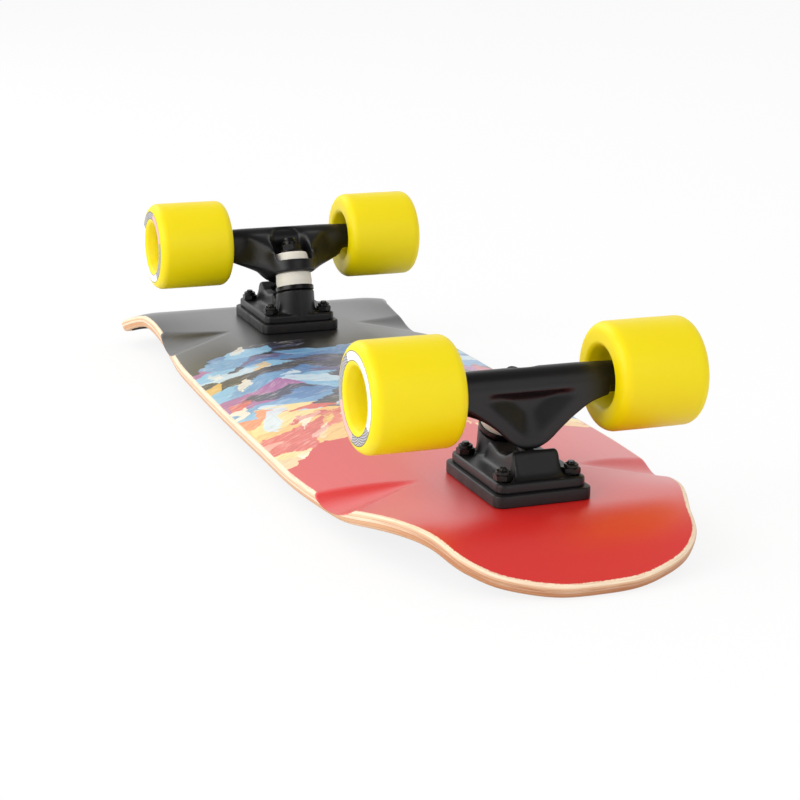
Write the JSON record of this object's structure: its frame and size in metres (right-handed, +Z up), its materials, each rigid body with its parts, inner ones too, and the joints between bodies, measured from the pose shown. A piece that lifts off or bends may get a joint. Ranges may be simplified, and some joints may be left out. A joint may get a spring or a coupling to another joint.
{
  "type": "cruiser skateboard",
  "caption": "Short cruiser skateboard lying wheels up: kicked plywood deck with a grip sheet, two sprung trucks on risers, and soft wide wheels that turn on bearings",
  "frame": {"origin": "middle of the footprint, on the floor plane that the two kicks rest on, the board lying wheels up", "axes": "+X across the board, +Y along the board from the narrow rounded end to the wide blunt end, +Z up, towards the wheels"},
  "size_m": [0.2192, 0.6481, 0.1226],
  "materials": {
    "painted_maple": "painted and clear coated plywood",
    "grip": "coarse grit",
    "rubber": "satin",
    "cast_black": "satin powder coat on a casting",
    "steel_black": "black oxide",
    "steel": "turned",
    "urethane_yellow": "satin urethane",
    "urethane_cream": "cast urethane"
  },
  "bodies": {
    "board": {"baseplate_far": "cast_black", "baseplate_near": "cast_black", "cup_washer_far": "steel_black", "cup_washer_near": "steel_black", "deck": "painted_maple", "deck_bolt_far_inner_left": "steel_black", "deck_bolt_far_inner_right": "steel_black", "deck_bolt_far_outer_left": "steel_black", "deck_bolt_far_outer_right": "steel_black", "deck_bolt_near_inner_left": "steel_black", "deck_bolt_near_inner_right": "steel_black", "deck_bolt_near_outer_left": "steel_black", "deck_bolt_near_outer_right": "steel_black", "flat_washer_far": "steel_black", "flat_washer_near": "steel_black", "grip_sheet": "grip", "kingpin_far": "steel_black", "kingpin_near": "steel_black", "kingpin_nut_far": "steel_black", "kingpin_nut_near": "steel_black", "lock_nut_far_inner_left": "steel_black", "lock_nut_far_inner_right": "steel_black", "lock_nut_far_outer_left": "steel_black", "lock_nut_far_outer_right": "steel_black", "lock_nut_near_inner_left": "steel_black", "lock_nut_near_inner_right": "steel_black", "lock_nut_near_outer_left": "steel_black", "lock_nut_near_outer_right": "steel_black", "lower_bushing_far": "urethane_cream", "lower_bushing_near": "urethane_cream", "pivot_cup_far": "rubber", "pivot_cup_near": "rubber", "riser_pad_far": "rubber", "riser_pad_near": "rubber", "upper_bushing_far": "urethane_cream", "upper_bushing_near": "urethane_cream"},
    "truck_hanger_near": {"axle_near": "steel", "axle_nut_near_left": "steel", "axle_nut_near_right": "steel", "hanger_near": "cast_black", "spacer_near_left": "steel", "spacer_near_right": "steel"},
    "wheel_near_left": {"bearing_inner_near_left": "steel", "bearing_outer_near_left": "steel", "wheel_near_left": "urethane_yellow"},
    "wheel_near_right": {"bearing_inner_near_right": "steel", "bearing_outer_near_right": "steel", "wheel_near_right": "urethane_yellow"},
    "truck_hanger_far": {"axle_far": "steel", "axle_nut_far_left": "steel", "axle_nut_far_right": "steel", "hanger_far": "cast_black", "spacer_far_left": "steel", "spacer_far_right": "steel"},
    "wheel_far_left": {"bearing_inner_far_left": "steel", "bearing_outer_far_left": "steel", "wheel_far_left": "urethane_yellow"},
    "wheel_far_right": {"bearing_inner_far_right": "steel", "bearing_outer_far_right": "steel", "wheel_far_right": "urethane_yellow"}
  },
  "joints": [
    {"name": "steer_near", "type": "hinge", "parent": "board", "child": "truck_hanger_near", "pos_m": [0, -0.228, 0.04931], "axis": [0, 0.7667, 0.642], "range_deg": [-15, 15], "stiffness_Nm_per_rad": 45, "deforming": ["lower_bushing_near", "upper_bushing_near"]},
    {"name": "spin_near_left", "type": "hinge", "parent": "truck_hanger_near", "child": "wheel_near_left", "pos_m": [-0.07315, -0.2195, 0.09111], "axis": [1, 0, 0], "continuous": true},
    {"name": "spin_near_right", "type": "hinge", "parent": "truck_hanger_near", "child": "wheel_near_right", "pos_m": [0.07315, -0.2195, 0.09111], "axis": [1, 0, 0], "continuous": true},
    {"name": "steer_far", "type": "hinge", "parent": "board", "child": "truck_hanger_far", "pos_m": [0, 0.2385, 0.04931], "axis": [0, -0.7667, 0.642], "range_deg": [-15, 15], "stiffness_Nm_per_rad": 45, "deforming": ["lower_bushing_far", "upper_bushing_far"]},
    {"name": "spin_far_left", "type": "hinge", "parent": "truck_hanger_far", "child": "wheel_far_left", "pos_m": [-0.07315, 0.23, 0.09111], "axis": [1, 0, 0], "continuous": true},
    {"name": "spin_far_right", "type": "hinge", "parent": "truck_hanger_far", "child": "wheel_far_right", "pos_m": [0.07315, 0.23, 0.09111], "axis": [1, 0, 0], "continuous": true}
  ]
}
